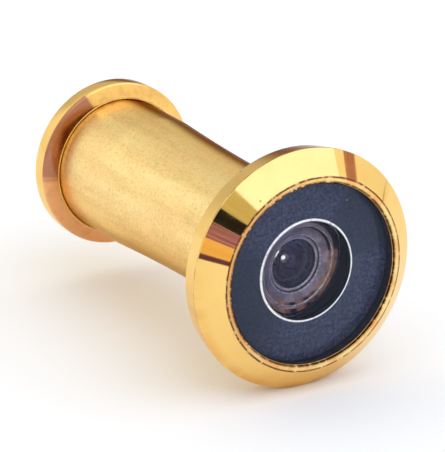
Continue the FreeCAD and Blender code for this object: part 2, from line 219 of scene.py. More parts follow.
def round_the_axis(graph):
    """Position, distance from the axis, depth behind the lip's front, and direction round the axis."""
    position = graph.add("ShaderNodeTexCoord").outputs["Object"]
    split = graph.add("ShaderNodeSeparateXYZ")
    graph.put(split.inputs[0], position)
    x, y, z = split.outputs
    squares = graph.math("ADD", graph.math("MULTIPLY", x, x), graph.math("MULTIPLY", z, z))
    radius = graph.math("SQRT", squares)
    around = graph.join(graph.math("DIVIDE", x, radius), graph.math("DIVIDE", z, radius), 0.0)
    return position, radius, graph.math("SUBTRACT", y, BEZEL_FRONT), around


# ---------------------------------------------------------------------------------------------
# Materials
# ---------------------------------------------------------------------------------------------

BRASS = (0.94, 0.63, 0.20, 1.0)
WORN_BRASS = (0.88, 0.51, 0.14, 1.0)
# Dark brown: tarnish in pits and nicks, and painted shade in corners and along silhouettes
TARNISH_AND_SHADE = (0.20, 0.075, 0.022, 1.0)
BRASS_EDGE_TINT = (1.0, 0.90, 0.66, 1.0)
# The grazing reflection's tint where painted shade darkens a silhouette
PAINTED_SHADE_EDGE_TINT = (0.52, 0.32, 0.19, 1.0)
OUTER_TINT = (0.16, 0.20, 0.40, 1.0)
INNER_TINT = (0.20, 0.14, 0.28, 1.0)
GLASS_INDEX = 1.52


def brass_wear(graph, position, colour, worn, scale, share):
    """Soft patches where the lacquered brass has gone a little darker and redder."""
    patches = graph.ramp(graph.noise(position, scale, 4.0, 0.55), 0.42, 0.72, 0.0, share)
    return graph.mix(patches, colour, worn)


def seen_edge_on(graph, start, end, lowest, highest, below=0.0):
    """1 where a face that looks up is seen almost edge-on, and this lower value where it looks down."""
    facing = graph.add("ShaderNodeLayerWeight").outputs["Facing"]
    split = graph.add("ShaderNodeSeparateXYZ")
    graph.put(split.inputs[0], graph.add("ShaderNodeNewGeometry").outputs["Normal"])
    upward = graph.ramp(split.outputs[2], lowest, highest, below, 1.0)
    return graph.math("MULTIPLY", graph.ramp(facing, start, end), upward)


def turning_marks(graph, radius, depth, per_metre):
    """Height of the fine rings that a lathe tool leaves."""
    return graph.noise(graph.join(radius, depth, 0.0), per_metre, 2.0, 0.6)


def polished_brass():
    """Mirror-polished and lacquered: rings, smears, pits, tarnish, and painted shade and reflection along
    the edges.
    """
    orange = (0.78, 0.37, 0.08, 1.0)
    material, graph = new_material("polished_brass_finish")
    position, radius, depth, around = round_the_axis(graph)
    colour = brass_wear(graph, position, BRASS, WORN_BRASS, 330.0, 0.35)
    pits = graph.specks(position, 700.0, 0.11, 0.08)
    colour = graph.mix(graph.math("MULTIPLY", pits, 0.75), colour, TARNISH_AND_SHADE)
    # Broken dark lines at the lip's foot and along the bezel's rim: tarnish, and painted shade
    lip_foot = graph.between(radius, (LIP_OUTER + 0.03) * MM, (LIP_OUTER + 0.15) * MM, 0.03 * MM)
    lip_foot = graph.math("MULTIPLY", lip_foot, graph.ramp(depth, 0.2 * MM, 0.4 * MM, 1.0, 0.0))
    rim = graph.between(depth, (RIM_FRONT + 0.03) * MM, (RIM_BACK - 0.01) * MM, 0.03 * MM)
    rim = graph.math("MULTIPLY", rim, graph.ramp(radius, (RIM - 0.1) * MM, (RIM - 0.03) * MM))
    broken = graph.ramp(graph.noise(position, 900.0, 3.0, 0.6), 0.40, 0.62, 0.15, 0.85)
    lines = graph.math("MULTIPLY", graph.math("MAXIMUM", lip_foot, rim), broken)
    colour = graph.mix(lines, colour, TARNISH_AND_SHADE)
    # A painted, uneven darker orange reflection along the lower edge of the bevel
    downward = graph.ramp(graph.toward(around, -0.45, -0.89), 0.1, 0.8)
    uneven = graph.ramp(graph.noise(around, 6.0, 4.0, 0.65), 0.36, 0.60, 0.15, 0.6)
    lower_edge = graph.math("MULTIPLY", graph.ramp(radius, (RIM - 1.1) * MM, (RIM - 0.1) * MM), downward)
    colour = graph.mix(graph.math("MULTIPLY", lower_edge, uneven), colour, orange)
    # Painted shade along the upper silhouette, where the bevel is seen almost edge-on
    edge_on = seen_edge_on(graph, 0.64, 0.78, 0.72, 0.92)
    colour = graph.mix(edge_on, colour, TARNISH_AND_SHADE)
    smears = graph.noise(graph.stretch(position, 1.0, 1.0, 3.0), 260.0, 5.0, 0.6)
    marks = turning_marks(graph, radius, depth, 7000.0)
    scratches = graph.noise(graph.stretch(position, 0.25, 1.0, 2.2), 5200.0, 2.0, 0.7)
    height = graph.math("ADD", marks, graph.math("MULTIPLY", scratches, 0.35))
    principled(
        graph,
        base_color=colour,
        metallic=1.0,
        roughness=graph.ramp(smears, 0.35, 0.75, 0.035, 0.085),
        specular_tint=graph.mix(edge_on, BRASS_EDGE_TINT, PAINTED_SHADE_EDGE_TINT),
        coat_weight=0.25,
        coat_roughness=0.03,
        normal=graph.relief(height, 2.2e-7),
    )
    return material


def rolled_brass():
    """The lip that was rolled over the glass: uneven, with dark dashes along both of its edges."""
    peach, copper = (0.99, 0.70, 0.29, 1.0), (0.90, 0.47, 0.16, 1.0)
    brown, dash_dark = (0.68, 0.34, 0.13, 1.0), (0.09, 0.03, 0.012, 1.0)
    material, graph = new_material("rolled_brass_finish")
    position, radius, _, around = round_the_axis(graph)
    waves = graph.noise(around, 5.0, 3.0, 0.5)
    dents = graph.noise(position, 1500.0, 2.0, 0.5)
    colour = graph.mix(graph.ramp(waves, 0.40, 0.62), peach, copper)
    browner = graph.ramp(graph.toward(around, -0.98, 0.20), 0.1, 0.9, 0.0, 0.7)
    colour = graph.mix(browner, colour, brown)
    # Dark broken dashes along the lip's inner and outer edges
    inner = graph.ramp(radius, (LIP_INNER + 0.05) * MM, (LIP_INNER + 0.25) * MM, 1.0, 0.0)
    outer = graph.ramp(radius, (LIP_OUTER - 0.11) * MM, (LIP_OUTER + 0.03) * MM)
    dashes = graph.ramp(graph.noise(around, 19.0, 5.0, 0.75), 0.38, 0.50)
    breaks = graph.ramp(graph.noise(around, 13.0, 5.0, 0.75), 0.36, 0.50)
    inner = graph.math("MULTIPLY", inner, dashes)
    outer = graph.math("MULTIPLY", outer, breaks)
    dark = graph.math("MAXIMUM", inner, outer)
    colour = graph.mix(graph.math("MULTIPLY", dark, 0.92), colour, dash_dark)
    principled(
        graph,
        base_color=colour,
        metallic=1.0,
        roughness=graph.ramp(dents, 0.3, 0.7, 0.16, 0.26),
        specular_tint=BRASS_EDGE_TINT,
        normal=graph.relief(dents, 1.2e-5),
    )
    return material


def satin_brass():
    """Satin lacquered brass: spangled grain, painted reflection streaks, and painted shade at the flange and
    edges.
    """
    golden, khaki, rosy = (1.0, 0.76, 0.33, 1.0), (0.86, 0.61, 0.25, 1.0), (1.0, 0.68, 0.31, 1.0)
    painted_dark_streak, painted_light_streak = (0.76, 0.48, 0.19, 1.0), (1.0, 0.82, 0.42, 1.0)
    shaded, sparkle, grit = (0.80, 0.51, 0.22, 1.0), (1.0, 0.88, 0.50, 1.0), (0.62, 0.40, 0.15, 1.0)
    satin_edge_tint = (0.95, 0.76, 0.50, 1.0)
    material, graph = new_material("satin_brass_finish")
    position, radius, depth, around = round_the_axis(graph)
    drift = graph.noise(graph.stretch(position, 1.0, 0.3, 1.0), 420.0, 4.0, 0.6)
    colour = graph.mix(graph.ramp(drift, 0.40, 0.64, 0.0, 0.6), golden, khaki)
    # Painted lengthwise streaks of darker and lighter reflection
    wear_and_sheen = graph.noise(graph.stretch(position, 1.0, 0.05, 1.0), 480.0, 3.0, 0.55)
    colour = graph.mix(graph.ramp(wear_and_sheen, 0.48, 0.68, 0.0, 0.55), colour, painted_dark_streak)
    colour = graph.mix(graph.ramp(wear_and_sheen, 0.32, 0.48, 0.65, 0.0), colour, painted_light_streak)
    underside = graph.ramp(graph.toward(around, -0.80, -0.60), 0.55, 0.90, 0.0, 0.4)
    colour = graph.mix(underside, colour, shaded)
    blush = graph.noise(position, 230.0, 3.0, 0.5)
    colour = graph.mix(graph.ramp(blush, 0.48, 0.70, 0.0, 0.7), colour, rosy)
    spangle = graph.noise(position, 3800.0, 2.0, 0.75)
    colour = graph.mix(graph.ramp(spangle, 0.52, 0.72, 0.0, 0.55), colour, sparkle)
    colour = graph.mix(graph.ramp(spangle, 0.30, 0.46, 0.50, 0.0), colour, grit)
    # Painted shade in the corner where the barrel meets the flange
    flange_front = SLEEVE_FRONT - BEZEL_FRONT + FLANGE_START * MM
    flange_corner_shade = graph.between(depth, flange_front - 0.35 * MM, flange_front + 0.1 * MM, 0.12 * MM)
    colour = graph.mix(graph.math("MULTIPLY", flange_corner_shade, 0.75), colour, TARNISH_AND_SHADE)
    # Painted shade along the silhouette, where the barrel is seen almost edge-on
    edge_on = seen_edge_on(graph, 0.66, 0.84, 0.0, 0.5, 0.3)
    colour = graph.mix(edge_on, colour, TARNISH_AND_SHADE)
    marks = turning_marks(graph, radius, depth, 2600.0)
    height = graph.math("ADD", spangle, graph.math("MULTIPLY", marks, 0.5))
    principled(
        graph,
        base_color=colour,
        metallic=1.0,
        roughness=graph.ramp(drift, 0.3, 0.7, 0.28, 0.36),
        specular_tint=graph.mix(edge_on, satin_edge_tint, PAINTED_SHADE_EDGE_TINT),
        normal=graph.relief(height, 1.6e-5),
    )
    return material


def flange_face_brass():
    """The polished face between barrel and flange edge: painted reflections, rust streaks, painted corner
    shade.
    """
    amber, blush = (0.98, 0.60, 0.18, 1.0), (0.86, 0.44, 0.20, 1.0)
    mauve, rust = (0.40, 0.155, 0.105, 1.0), (0.50, 0.22, 0.10, 1.0)
    material, graph = new_material("flange_face_finish")
    position, radius, depth, around = round_the_axis(graph)
    # Painted mauve reflection towards the upper left, broken into bands
    bands = graph.noise(around, 3.0, 3.0, 0.6)
    toward_mauve_reflection = graph.toward(around, -0.86, 0.50)
    mauve_reflection = graph.math("ADD", toward_mauve_reflection, graph.math("MULTIPLY", bands, 0.55))
    mauve_reflection = graph.ramp(mauve_reflection, 1.07, 1.16)
    # Painted reflection, amber turning orange-brown towards the lower left
    colour = graph.mix(graph.ramp(graph.toward(around, -0.50, -0.86), -0.1, 0.7), amber, blush)
    colour = graph.mix(graph.math("MULTIPLY", mauve_reflection, 0.9), colour, mauve)
    streaks = graph.noise(graph.stretch(position, 1.0, 0.2, 1.0), 900.0, 3.0, 0.6)
    colour = graph.mix(graph.ramp(streaks, 0.44, 0.68, 0.0, 0.28), colour, rust)
    # Painted shade in the corner at the foot of the barrel
    foot = graph.ramp(radius, (BARREL + 0.1) * MM, (BARREL + 0.35) * MM, 0.7, 0.0)
    colour = graph.mix(foot, colour, TARNISH_AND_SHADE)
    principled(
        graph,
        base_color=colour,
        metallic=1.0,
        roughness=graph.ramp(streaks, 0.3, 0.7, 0.10, 0.18),
        specular_tint=BRASS_EDGE_TINT,
        normal=graph.relief(turning_marks(graph, radius, depth, 6000.0), 4.0e-7),
    )
    return material


def lens_glass(name, tint, haze=0.0, **more):
    """Coated optical glass: faint wiping smears, and the coating's weak, coloured reflection."""
    material, graph = new_material(name)
    position, _, _, _ = round_the_axis(graph)
    smears = graph.noise(graph.stretch(position, 1.0, 1.0, 2.5), 240.0, 4.0, 0.6)
    principled(
        graph,
        base_color=(0.97, 0.98, 1.0, 1.0),
        roughness=graph.ramp(smears, 0.45, 0.80, haze, haze + 0.012),
        ior=GLASS_INDEX,
        transmission_weight=1.0,
        specular_tint=tint,
        **more,
    )
    return material


def hollow_glass():
    """The polished hollow of the outer lens, with a soft, hazy reflection over the sharp one."""
    return lens_glass("hollow_glass_finish", OUTER_TINT, coat_weight=0.5, coat_roughness=0.16, coat_ior=1.3)


def ground_glass():
    """The silvery ground rim of the lens's hollow, which throws back the light that reaches it."""
    chip, silver = (0.55, 0.58, 0.66, 1.0), (1.0, 1.0, 1.0, 1.0)
    material, graph = new_material("ground_glass_finish")
    position, _, _, around = round_the_axis(graph)
    grain = graph.noise(position, 9000.0, 3.0, 0.7)
    chips = graph.ramp(graph.noise(around, 14.0, 4.0, 0.65), 0.32, 0.50)
    principled(
        graph,
        base_color=graph.mix(chips, chip, silver),
        metallic=1.0,
        roughness=graph.ramp(grain, 0.3, 0.7, 0.25, 0.40),
        normal=graph.relief(grain, 1.0e-6),
    )
    return material


def black_seat():
    """The washer seen through the glass: blue grain on near-black, clouds, painted shade patches, and dust.
    """
    black, blue = (0.030, 0.035, 0.064, 1.0), (0.118, 0.132, 0.222, 1.0)
    cloudy, dusty = (0.070, 0.100, 0.125, 1.0), (0.60, 0.62, 0.70, 1.0)
    painted_shade_left, painted_shade_right = (0.030, 0.038, 0.042, 1.0), (0.036, 0.046, 0.056, 1.0)
    material, graph = new_material("black_seat_finish")
    position, _, _, around = round_the_axis(graph)
    grain = graph.noise(position, 3000.0, 4.0, 0.85)
    colour = graph.mix(graph.ramp(grain, 0.36, 0.66), black, blue)
    cloud = graph.noise(position, 240.0, 3.0, 0.5)
    colour = graph.mix(graph.ramp(cloud, 0.45, 0.75, 0.0, 0.7), colour, cloudy)
    # Painted shade on the left and in a wedge at the upper right
    left = graph.ramp(graph.toward(around, -0.97, -0.24), 0.50, 1.0, 0.0, 0.8)
    colour = graph.mix(left, colour, painted_shade_left)
    upper_right = graph.ramp(graph.toward(around, 0.85, 0.53), 0.86, 0.93, 0.0, 0.65)
    colour = graph.mix(upper_right, colour, painted_shade_right)
    dust = graph.specks(position, 640.0, 0.10, 0.13)
    colour = graph.mix(graph.math("MULTIPLY", dust, 0.8), colour, dusty)
    principled(graph, base_color=colour, roughness=0.7, specular_ior_level=0.1)
    return material


def black_cell():
    """Moulded black plastic: fine tooling rings, a bloom of purple-grey, and dust."""
    black, bloomed = (0.010, 0.007, 0.010, 1.0), (0.055, 0.040, 0.055, 1.0)
    dusty = (0.40, 0.38, 0.42, 1.0)
    material, graph = new_material("black_cell_finish")
    position, radius, depth, _ = round_the_axis(graph)
    bloom = graph.noise(position, 500.0, 4.0, 0.6)
    colour = graph.mix(graph.ramp(bloom, 0.35, 0.70), black, bloomed)
    dust = graph.specks(position, 1500.0, 0.10, 0.06)
    colour = graph.mix(graph.math("MULTIPLY", dust, 0.5), colour, dusty)
    rings = turning_marks(graph, radius, depth, 5200.0)
    principled(
        graph,
        base_color=colour,
        roughness=graph.ramp(bloom, 0.3, 0.7, 0.20, 0.36),
        specular_tint=(0.90, 0.78, 1.0, 1.0),
        normal=graph.relief(rings, 1.6e-6),
    )
    return material


def cell_tread():
    """The faces of the cell's steps that look forward: purple-grey, and bluer towards the upper left."""
    deep, pale, bluish = (0.25, 0.19, 0.24, 1.0), (0.62, 0.48, 0.60, 1.0), (0.10, 0.11, 0.20, 1.0)
    material, graph = new_material("cell_tread_finish")
    position, radius, depth, around = round_the_axis(graph)
    bloom = graph.noise(position, 700.0, 4.0, 0.6)
    colour = graph.mix(graph.ramp(bloom, 0.35, 0.70), deep, pale)
    sideways = graph.toward(around, 0.80, -0.60)
    colour = graph.mix(graph.ramp(sideways, -0.7, 0.6, 0.6, 0.0), colour, bluish)
    rings = turning_marks(graph, radius, depth, 5200.0)
    principled(graph, base_color=colour, roughness=0.34, normal=graph.relief(rings, 1.6e-6))
    return material


def cell_edge():
    """The edges of the cell's steps, with painted pale lilac highlights."""
    dull, lilac = (0.42, 0.34, 0.44, 1.0), (0.95, 0.88, 1.0, 1.0)
    material, graph = new_material("cell_edge_finish")
    _, _, _, around = round_the_axis(graph)
    # Painted pale lilac highlights in patches round the edges
    wear_and_sheen = graph.ramp(graph.noise(around, 9.0, 4.0, 0.7), 0.36, 0.64)
    colour = graph.mix(wear_and_sheen, dull, lilac)
    principled(graph, base_color=colour, metallic=0.45, roughness=0.30)
    return material


def cell_wall():
    """The walls of the cell's steps, with a painted brown reflection of the brass round them, most below."""
    black, brown = (0.014, 0.008, 0.007, 1.0), (0.72, 0.36, 0.19, 1.0)
    material, graph = new_material("cell_wall_finish")
    _, _, _, around = round_the_axis(graph)
    downward = graph.toward(around, -0.30, -0.95)
    shine = graph.math("MULTIPLY_ADD", downward, 0.07, graph.noise(around, 1.6, 3.0, 0.6))
    colour = graph.mix(graph.ramp(shine, 0.42, 0.62), black, brown)
    principled(graph, base_color=colour, roughness=0.28)
    return material


def black_edge():
    """Black paint on the lens's ground edge."""
    black, worn = (0.002, 0.002, 0.003, 1.0), (0.010, 0.009, 0.010, 1.0)
    material, graph = new_material("black_edge_finish")
    position, _, _, _ = round_the_axis(graph)
    strokes = graph.noise(graph.stretch(position, 1.0, 3.0, 1.0), 1400.0, 4.0, 0.6)
    colour = graph.mix(strokes, black, worn)
    principled(graph, base_color=colour, roughness=graph.ramp(strokes, 0.3, 0.7, 0.45, 0.7))
    return material


def machined_brass():
    """Bare turned brass in the thread and the bores: tool rings, nicks and dull patches."""
    bright, dull, shadow = (0.89, 0.60, 0.24, 1.0), (0.66, 0.40, 0.15, 1.0), (0.34, 0.18, 0.07, 1.0)
    material, graph = new_material("machined_brass_finish")
    position, radius, depth, _ = round_the_axis(graph)
    colour = brass_wear(graph, position, bright, dull, 480.0, 0.7)
    marks = turning_marks(graph, radius, depth, 4200.0)
    colour = graph.mix(graph.ramp(marks, 0.25, 0.48, 0.35, 0.0), colour, shadow)
    nicks = graph.specks(position, 1500.0, 0.14, 0.08)
    colour = graph.mix(graph.math("MULTIPLY", nicks, 0.6), colour, TARNISH_AND_SHADE)
    principled(
        graph,
        base_color=colour,
        metallic=1.0,
        roughness=graph.ramp(marks, 0.3, 0.7, 0.20, 0.34),
        specular_tint=BRASS_EDGE_TINT,
        normal=graph.relief(marks, 1.4e-6),
    )
    return material


def dark_brass():
    """Chemically blackened brass, with the brass showing through where it has been rubbed."""
    black, brownish, bare = (0.030, 0.026, 0.024, 1.0), (0.085, 0.068, 0.050, 1.0), (0.45, 0.28, 0.10, 1.0)
    material, graph = new_material("dark_brass_finish")
    position, radius, depth, _ = round_the_axis(graph)
    blotches = graph.noise(position, 620.0, 4.0, 0.6)
    colour = graph.mix(graph.ramp(blotches, 0.35, 0.7), black, brownish)
    wear_and_sheen = graph.ramp(graph.noise(position, 2400.0, 4.0, 0.7), 0.66, 0.78, 0.0, 0.7)
    colour = graph.mix(wear_and_sheen, colour, bare)
    marks = turning_marks(graph, radius, depth, 4200.0)
    principled(
        graph,
        base_color=colour,
        metallic=0.6,
        roughness=graph.ramp(blotches, 0.3, 0.7, 0.36, 0.55),
        normal=graph.relief(marks, 1.4e-6),
    )
    return material


# ---------------------------------------------------------------------------------------------
# Turned pieces. An outline is a closed list of corners (radius, depth, round, finish) in millimetres:
# depth is measured along the axis from the piece's own front, round is the radius that the corner is
# broken with, and finish numbers the material of the stretch that starts at the corner.
# ---------------------------------------------------------------------------------------------

ARC_STEP = math.radians(18.0)
SHARP = math.radians(40.0)
SEGMENTS = 192
# A round takes no more than this share of the stretch beside it
ROUND_SHARE = 0.45
# Half of a corner's angle from which it counts as straight
STRAIGHT = math.radians(89.0)

# The finishes of the brass pieces, by number
POLISHED, SATIN, MACHINED, ROLLED, FACE = 0, 1, 2, 3, 4

# The thread in millimetres: its radii, the half widths of its ridge from the root up to the crest, how
# much its crest is rounded, and how deep the ridge's foot is buried
THREAD_PITCH = 1.0
ROWS_PER_TURN = 72
MALE_ROOT = 4.95
MALE_CREST = 5.5
FEMALE_ROOT = 5.6
FEMALE_CREST = 5.05
ROOT_HALF = 0.38
SHOULDER_HALF = 0.09
CREST_HALF = 0.05
CREST_ROUND = 0.05
BURIED = 0.05


def corner_points(before, corner, after):
    """The points that round one corner of an outline, from the stretch before it to the one after."""
    radius, depth, rounding, finish = corner
    here = Vector((radius, depth))
    back = Vector(before[:2]) - here
    ahead = Vector(after[:2]) - here
    half = back.angle(ahead) / 2
    reach = min(rounding / math.tan(half), back.length * ROUND_SHARE, ahead.length * ROUND_SHARE)
    if rounding <= 0.0 or radius <= 0.0 or half > STRAIGHT:
        return [(radius, depth, finish)]
    bend = reach * math.tan(half)
    centre = here + (back.normalized() + ahead.normalized()).normalized() * bend / math.sin(half)
    first = here + back.normalized() * reach - centre
    turn = math.pi - 2 * half
    if first.x * ahead.y - first.y * ahead.x < 0.0:
        turn = -turn
    steps = max(2, math.ceil(abs(turn) / ARC_STEP))
    points = []
    for step in range(steps + 1):
        angle = turn * step / steps
        x = centre.x + first.x * math.cos(angle) - first.y * math.sin(angle)
        y = centre.y + first.x * math.sin(angle) + first.y * math.cos(angle)
        points.append((x, y, finish if step == steps else before[3]))
    return points


def rounded_outline(corners):
    """Every point of an outline with its corners rounded."""
    points = []
    for index, corner in enumerate(corners):
        points += corner_points(corners[index - 1], corner, corners[(index + 1) % len(corners)])
    return points


def bulge(start, end, height, count, finish):
    """Corners between two points of a shallow arc that stands this far off its chord.

    A positive height is to the right of the way from start to end, and the arc has this many stretches.
    """
    chord = math.dist(start, end)
    radius = (chord**2 / 4 + height**2) / (2 * abs(height))
    ahead = (Vector(end) - Vector(start)) / chord
    aside = Vector((ahead.y, -ahead.x)) * math.copysign(1.0, height)
    centre = (Vector(start) + Vector(end)) / 2 - aside * (radius - abs(height))
    half = math.asin(chord / 2 / radius)
    corners = []
    for step in range(1, count):
        angle = half * (2 * step / count - 1)
        point = centre + aside * radius * math.cos(angle) + ahead * radius * math.sin(angle)
        corners.append((point.x, point.y, 0.0, finish))
    return corners


def off_axis(radius, place, angle):
    """The point at this radius in mm and angle round the axis, and at this place in metres along it."""
    return (radius * MM * math.cos(angle), place, radius * MM * math.sin(angle))


def spin(points, front):
    """Turn an outline's points about the Y axis into a closed surface, in a new bmesh."""
    work = bmesh.new()
    rings = []
    for radius, depth, _ in points:
        place = front + depth * MM
        if radius <= 0.0:
            rings.append([work.verts.new((0.0, place, 0.0))])
            continue
        angles = [2 * math.pi * step / SEGMENTS for step in range(SEGMENTS)]
        rings.append([work.verts.new(off_axis(radius, place, angle)) for angle in angles])
    for index, ring in enumerate(rings):
        following = rings[(index + 1) % len(rings)]
        if len(ring) == 1 and len(following) == 1:
            continue
        for step in range(SEGMENTS):
            after = (step + 1) % SEGMENTS
            corners = [ring[step % len(ring)], following[step % len(following)]]
            if len(following) > 1:
                corners.append(following[after])
            if len(ring) > 1:
                corners.append(ring[after])
            face = work.faces.new(corners)
            face.material_index = points[index][2]
    return work


def ridge_section(foot, foot_half, root, crest):
    """A thread ridge's section as points (radius, offset), from its buried foot up over its crest."""
    shoulder = crest + math.copysign(CREST_ROUND, root - crest)
    half = [(foot, foot_half), (root, ROOT_HALF), (shoulder, SHOULDER_HALF), (crest, CREST_HALF)]
    return [(radius, -offset) for radius, offset in half] + list(reversed(half))


def helical_ridge(work, section, start, end, envelope, turns_from=0.0):
    """Sweep a thread ridge's section along a right-hand helix, from depth start to depth end.

    The depths are behind the lip's front, and envelope(depth, radius) limits each point's radius.
    """
    rows = []
    count = int((end - start) / THREAD_PITCH * ROWS_PER_TURN)
    for step in range(count + 1):
        turn = step / ROWS_PER_TURN
        angle = -2 * math.pi * (turn + turns_from)
        row = []
        for radius, offset in section:
            depth = start + turn * THREAD_PITCH + offset
            point = off_axis(envelope(depth, radius), BEZEL_FRONT + depth * MM, angle)
            row.append(work.verts.new(point))
        rows.append(row)
    made = []
    for before, after in zip(rows, rows[1:]):
        for index in range(len(section)):
            following = (index + 1) % len(section)
            made.append(work.faces.new((before[index], before[following], after[following], after[index])))
    made.append(work.faces.new(rows[0]))
    made.append(work.faces.new(list(reversed(rows[-1]))))
    for face in made:
        face.material_index = MACHINED


def publish(work, name, node, body, materials):
    """Make the bmesh the visible piece that stands for a CAD node."""
    bmesh.ops.recalc_face_normals(work, faces=work.faces)
    for face in work.faces:
        face.smooth = True
    mesh = bpy.data.meshes.new(name)
    work.to_mesh(mesh)
    work.free()
    for material in materials:
        mesh.materials.append(material)
    piece = bpy.data.objects.new(name, mesh)
    bpy.context.scene.collection.objects.link(piece)
    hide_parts(node)
    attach(piece, body)
    return piece


def even_shading(piece):
    """Keep flat and conical faces flat in the reflections, and shade only the rounds between them."""
    piece.data.set_sharp_from_angle(angle=SHARP)
    weighted = piece.modifiers.new("Even shading", "WEIGHTED_NORMAL")
    weighted.keep_sharp = True


def frustum(near, far):
    """A cutter between two rectangles, each given as its four corners in mm."""
    work = bmesh.new()
    near_ring = [work.verts.new(Vector(corner) * MM) for corner in near]
    far_ring = [work.verts.new(Vector(corner) * MM) for corner in far]
    work.faces.new(near_ring)
    work.faces.new(list(reversed(far_ring)))
    for index in range(4):
        following = (index + 1) % 4
        work.faces.new((near_ring[index], far_ring[index], far_ring[following], near_ring[following]))
    bmesh.ops.recalc_face_normals(work, faces=work.faces)
    mesh = bpy.data.meshes.new("cutter")
    work.to_mesh(mesh)
    work.free()
    cutter = bpy.data.objects.new("cutter", mesh)
    bpy.context.scene.collection.objects.link(cutter)
    return cutter


def cut_away(piece, cutters):
    """Cut these solids out of the piece's mesh, and remove them."""
    for cutter in cutters:
        cut = piece.modifiers.new("cut", "BOOLEAN")
        cut.operation = "DIFFERENCE"
        cut.solver = "EXACT"
        cut.object = cutter
    bpy.context.view_layer.update()
    cut_mesh = bpy.data.meshes.new_from_object(piece.evaluated_get(bpy.context.evaluated_depsgraph_get()))
    old = piece.data
    piece.modifiers.clear()
    piece.data = cut_mesh
    bpy.data.meshes.remove(old)
    for cutter in cutters:
        bpy.data.objects.remove(cutter)


# The outer half. Radii and depths are in millimetres, and depths are behind the piece's own front.


def bezel_and_tube(materials):
    """The bevelled bezel with its rolled lip and collar, and the threaded tube behind it."""
    lip_ledge = 9.05
    lip_back = 0.3
    bevel_inner = 9.75
    bevel_front = 0.05
    back_edge = 11.565
    back = 4.6
    collar = 6.85
    collar_chamfer = 0.2
    groove = 4.9
    lead = 0.05
    bore = 4.3
    cell_pocket = 5.7
    cell_pocket_end = 6.0
    glass_pocket = 9.3
    glass_pocket_start = 0.55
    glass_pocket_end = 2.6
    foot_half = 0.41
    ridge_start = RELIEF_END + 0.5
    ridge_end = TUBE_END - 0.45
    corners = [
        (LIP_INNER, 0.0, 0.06, ROLLED),
        (LIP_OUTER, 0.0, 0.06, ROLLED),
        (bevel_inner, bevel_front, 0.04, POLISHED),
        (RIM, RIM_FRONT, 0.07, POLISHED),
        (RIM, RIM_BACK, 0.07, POLISHED),
        (back_edge, back, 0.4, POLISHED),
        (collar, back, 0.05, SATIN),
        (collar, COLLAR_END - collar_chamfer, 0.05, POLISHED),
        (collar - collar_chamfer, COLLAR_END, 0.05, MACHINED),
        (groove, COLLAR_END, 0.1, MACHINED),
        (groove, RELIEF_END, 0.05, MACHINED),
        (MALE_ROOT, RELIEF_END + lead, 0.0, MACHINED),
        (MALE_ROOT, TUBE_END - lead, 0.05, MACHINED),
        (groove, TUBE_END, 0.05, MACHINED),
        (bore, TUBE_END, 0.05, MACHINED),
        (bore, cell_pocket_end, 0.0, MACHINED),
        (cell_pocket, cell_pocket_end, 0.0, MACHINED),
        (cell_pocket, glass_pocket_end, 0.05, MACHINED),
        (glass_pocket, glass_pocket_end, 0.0, MACHINED),
        (glass_pocket, glass_pocket_start, 0.0, MACHINED),
        (lip_ledge, lip_back, 0.02, ROLLED),
        (LIP_INNER, lip_back, 0.0, ROLLED),
    ]
    work = spin(rounded_outline(corners), BEZEL_FRONT)

    def envelope(depth, radius):
        """Taper the ridge off towards both ends of the tube, and keep its foot buried in it."""
        ramp = min(depth - RELIEF_END, TUBE_END - depth)
        return max(min(radius, groove + ramp), groove - BURIED)

    section = ridge_section(groove, foot_half, MALE_ROOT, MALE_CREST)
    helical_ridge(work, section, ridge_start, ridge_end, envelope)
    piece = publish(work, "bezel_and_tube", "front_housing", "outer_half", materials)
    even_shading(piece)


def outer_glass(materials):
    """The flat outer lens, with a ground rim round the hollow in its back and a blackened edge."""
    clear, ground, blackened, hollowed = 0, 1, 2, 3
    face = 9.0
    chamfer = 0.25
    edge = face + chamfer
    back = 1.98
    paint_width = 0.22
    rim = 5.1
    rim_width = 0.13
    hollow = rim - rim_width
    deep = 1.84
    apex = 0.48
    steps = 32
    corners = [
        (0.0, 0.0, 0.0, clear),
        (face, 0.0, 0.01, blackened),
        (edge, chamfer, 0.01, blackened),
        (edge, back, 0.0, blackened),
        (edge - paint_width, back, 0.0, clear),
        (rim + rim_width * 0.6, back, 0.0, ground),
        (hollow, back, 0.0, clear),
        (hollow, deep, 0.0, hollowed),
    ]
    # The hollow is part of a sphere, from its edge at this depth to its apex on the axis
    middle = (hollow**2 + deep**2 - apex**2) / (2 * (deep - apex))
    reach = middle - apex
    widest = math.asin(hollow / reach)
    for step in range(1, steps):
        angle = widest * (1 - step / steps)
        corners.append((reach * math.sin(angle), middle - reach * math.cos(angle), 0.0, hollowed))
    corners.append((0.0, apex, 0.0, clear))
    work = spin(rounded_outline(corners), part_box("front_lens")[0].y)
    piece = publish(work, "outer_glass", "front_lens", "outer_half", materials)
    even_shading(piece)


